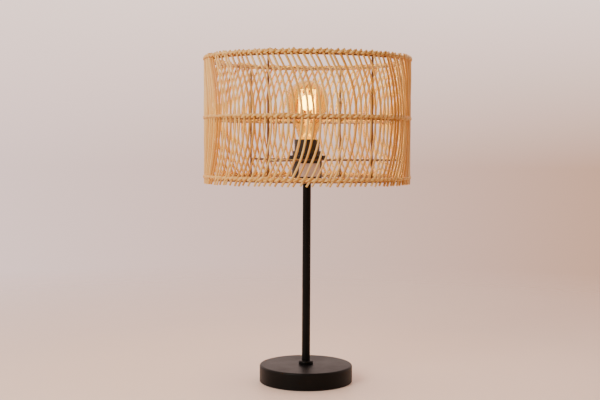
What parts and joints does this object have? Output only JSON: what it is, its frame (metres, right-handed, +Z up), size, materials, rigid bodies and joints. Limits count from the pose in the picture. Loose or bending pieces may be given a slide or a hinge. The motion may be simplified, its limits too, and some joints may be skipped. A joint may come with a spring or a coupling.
{
  "type": "table lamp with shade",
  "caption": "Table lamp with a round weighted foot, a slim pole, a screw lampholder with a clear amber bulb and an open drum shade of bowed rattan rods.",
  "frame": {"origin": "centre of the foot's underside, on the surface it stands on", "axes": "+Z up along the pole, -Y the front, +X to the right seen from the front; the cable inlet is at +Y"},
  "size_m": [0.3, 0.3, 0.4712],
  "materials": {
    "felt": "matt felt",
    "black_powder_coat": "satin powder coat",
    "zinc_steel": "zinc plated",
    "cast_iron": "raw casting",
    "black_plastic": "satin moulded",
    "white_plastic": "moulded",
    "brass": "bright",
    "brown_insulation": "extruded",
    "blue_insulation": "extruded",
    "green_insulation": "extruded",
    "label_film": "satin film",
    "porcelain": "unglazed",
    "fibre": "vulcanised fibre",
    "solder": "tinned",
    "black_glass": "vitrified",
    "bulb_cap_metal": "nickel washed brass",
    "amber_glass": "amber tinted",
    "clear_glass": "clear",
    "support_wire": "drawn wire",
    "filament": "phosphor coated",
    "black_wire_paint": "satin paint",
    "brown_wire_paint": "satin paint",
    "rattan": "peeled rattan, clear lacquer",
    "rattan_binding": "twined rattan core"
  },
  "bodies": {
    "stand": {"felt_pad": "felt", "base_shell": "black_powder_coat", "base_bottom_plate": "zinc_steel", "bottom_plate_screws": "zinc_steel", "base_weight": "cast_iron", "inlet_bush": "black_plastic", "inlet_nut": "black_plastic", "terminal_block": "white_plastic", "terminal_block_screws": "brass", "earth_screw": "zinc_steel", "earth_tag": "brass", "pole_collar": "black_powder_coat", "pole": "black_powder_coat", "lower_nipple": "zinc_steel", "lower_washer": "zinc_steel", "lower_nut": "zinc_steel", "upper_nipple": "zinc_steel", "upper_nut": "zinc_steel", "live_wire": "brown_insulation", "neutral_wire": "blue_insulation", "earth_wire": "green_insulation", "holder_cap": "black_plastic", "blank_label": "label_film", "holder_skirt": "black_plastic", "holder_insert": "porcelain", "holder_terminal_screws": "brass", "centre_contact": "brass", "screw_shell": "brass"},
    "shade": {"spider_ring": "black_wire_paint", "spider_arms": "black_wire_paint", "shade_uprights": "brown_wire_paint", "hoop_bottom": "brown_wire_paint", "hoop_middle": "brown_wire_paint", "hoop_top": "brown_wire_paint", "rattan_rods_1": "rattan", "rattan_rods_2": "rattan", "rattan_rods_3": "rattan", "rattan_rods_4": "rattan", "rattan_rods_5": "rattan", "rattan_rods_6": "rattan", "binding_bottom": "rattan_binding", "binding_middle": "rattan_binding", "binding_top": "rattan_binding"},
    "nut_washer": {"friction_washer": "fibre"},
    "ring_nut": {"ring_nut": "black_plastic"},
    "bulb_contact": {"bulb_tip": "solder"},
    "bulb": {"bulb_insulator": "black_glass", "bulb_cap": "bulb_cap_metal", "bulb_driver": "white_plastic", "bulb_glass": "amber_glass", "bulb_stem": "clear_glass", "filament_supports": "support_wire", "bulb_filaments": "filament"}
  },
  "joints": [
    {"name": "shade_turn", "type": "hinge", "parent": "stand", "child": "shade", "pos_m": [0, 0, 0.3227], "axis": [0, 0, 1], "continuous": true},
    {"name": "ring_nut_lift", "type": "slide", "parent": "stand", "child": "nut_washer", "axis": [0, 0, 1], "range_m": [0, 0.012]},
    {"name": "ring_nut_turn", "type": "hinge", "parent": "nut_washer", "child": "ring_nut", "pos_m": [0, 0, 0.328], "axis": [0, 0, 1], "range_deg": [0, 1728]},
    {"name": "bulb_lift", "type": "slide", "parent": "stand", "child": "bulb_contact", "axis": [0, 0, 1], "range_m": [0, 0.01452]},
    {"name": "bulb_turn", "type": "hinge", "parent": "bulb_contact", "child": "bulb", "pos_m": [0, 0, 0.36], "axis": [0, 0, 1], "range_deg": [0, 1440]}
  ],
  "couplings": [
    {"joint": "ring_nut_lift", "follows": "ring_nut_turn", "m_per_rad": 0.00039789},
    {"joint": "bulb_lift", "follows": "bulb_turn", "m_per_rad": 0.00057757}
  ]
}
